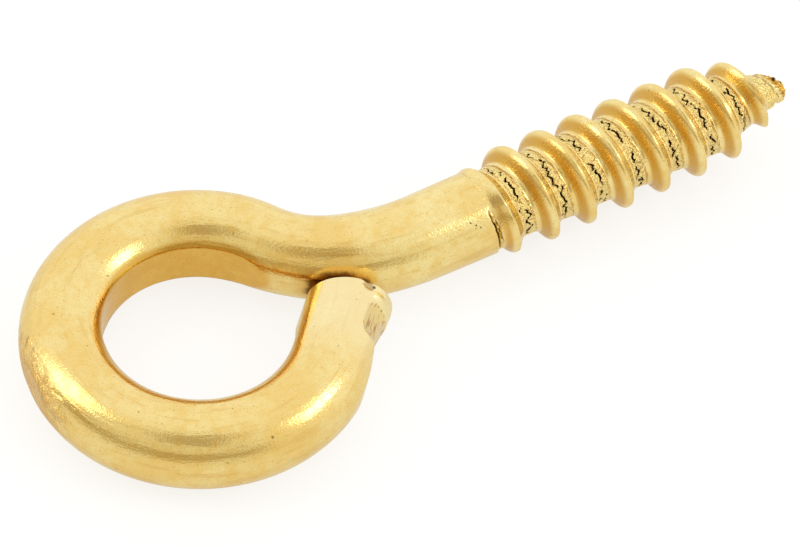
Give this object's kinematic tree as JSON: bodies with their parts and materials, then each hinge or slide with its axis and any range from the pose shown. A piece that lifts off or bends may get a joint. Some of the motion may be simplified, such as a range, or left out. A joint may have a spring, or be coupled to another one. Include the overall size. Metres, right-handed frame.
{
  "type": "screw eye",
  "caption": "Small brass screw eye bent from wire, with a closed round eye and a coarse right-hand wood thread whose gimlet point has broken off.",
  "frame": {"origin": "middle of the eye, half way up its wire", "axes": "+Z along the axis of the eye, +X from the eye down the shank to the broken point, +Y to the side that the wire comes off the eye on"},
  "size_m": [0.0295, 0.0122, 0.0038],
  "materials": {
    "brass": "bright satin, unlacquered, with faint draw lines and fine pitting; darker in the thread's root"
  },
  "bodies": {
    "root": {"screw_eye": "brass"}
  },
  "joints": []
}
